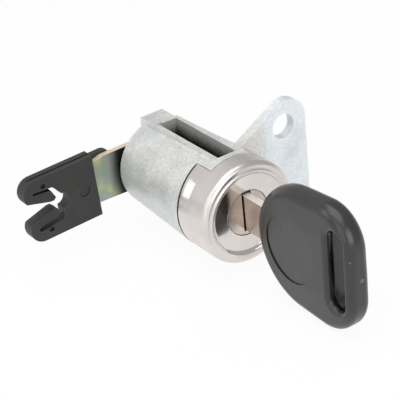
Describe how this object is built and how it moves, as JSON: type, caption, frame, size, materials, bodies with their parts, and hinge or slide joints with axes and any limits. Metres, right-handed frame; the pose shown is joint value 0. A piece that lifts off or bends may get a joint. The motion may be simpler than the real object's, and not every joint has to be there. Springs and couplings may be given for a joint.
{
  "type": "car door lock cylinder",
  "caption": "Wafer lock cylinder in a die-cast housing with a fixing ear, a polished face cap, a plastic-headed key and a rear drive lever with a rod clip.",
  "frame": {"origin": "on the lock's axis, at the rear edge of the cap's skirt", "axes": "+Y along the lock's axis from the key to the lever, +Z towards the housing's open wafer slot, +X towards the fixing ear"},
  "size_m": [0.0639, 0.0805, 0.0329],
  "materials": {
    "zinc_casting": "fine matt die casting",
    "polished_steel": "polished pressed sheet",
    "black_rubber": "soft black rubber",
    "spring_steel": "drawn wire",
    "nickel_plug": "polished plated zinc",
    "plated_steel": "zinc plated",
    "yellow_zinc": "yellow passivated zinc plating",
    "black_plastic": "matt moulded",
    "nickel_blade": "polished nickel plating",
    "key_plastic": "satin moulded",
    "wafer_brass": "stamped brass"
  },
  "bodies": {
    "housing": {"housing": "zinc_casting", "face_cap": "polished_steel", "face_seal": "black_rubber", "return_spring": "spring_steel"},
    "plug": {"plug": "nickel_plug", "shutter_flap": "spring_steel", "shutter_pin": "spring_steel", "wafer_1": "wafer_brass", "wafer_2": "wafer_brass", "wafer_3": "wafer_brass", "wafer_4": "wafer_brass", "wafer_5": "wafer_brass", "wafer_6": "wafer_brass", "wafer_7": "wafer_brass", "wafer_8": "wafer_brass", "wafer_spring_1": "spring_steel", "wafer_spring_2": "spring_steel", "wafer_spring_3": "spring_steel", "wafer_spring_4": "spring_steel", "wafer_spring_5": "spring_steel", "wafer_spring_6": "spring_steel", "wafer_spring_7": "spring_steel", "wafer_spring_8": "spring_steel", "spring_washer": "plated_steel", "drive_lever": "yellow_zinc", "lever_clip": "spring_steel", "clip_pin": "black_plastic", "rod_clip": "black_plastic"},
    "key": {"key_blade": "nickel_blade", "key_head": "key_plastic"}
  },
  "joints": [
    {"name": "plug_turn", "type": "hinge", "parent": "housing", "child": "plug", "pos_m": [0, 0, 0], "axis": [0, 1, 0], "range_deg": [-60, 60], "stiffness_Nm_per_rad": 0.12, "deforming": ["return_spring"]},
    {"name": "key_slide", "type": "slide", "parent": "plug", "child": "key", "axis": [0, -1, 0], "range_m": [0, 0.029]}
  ]
}
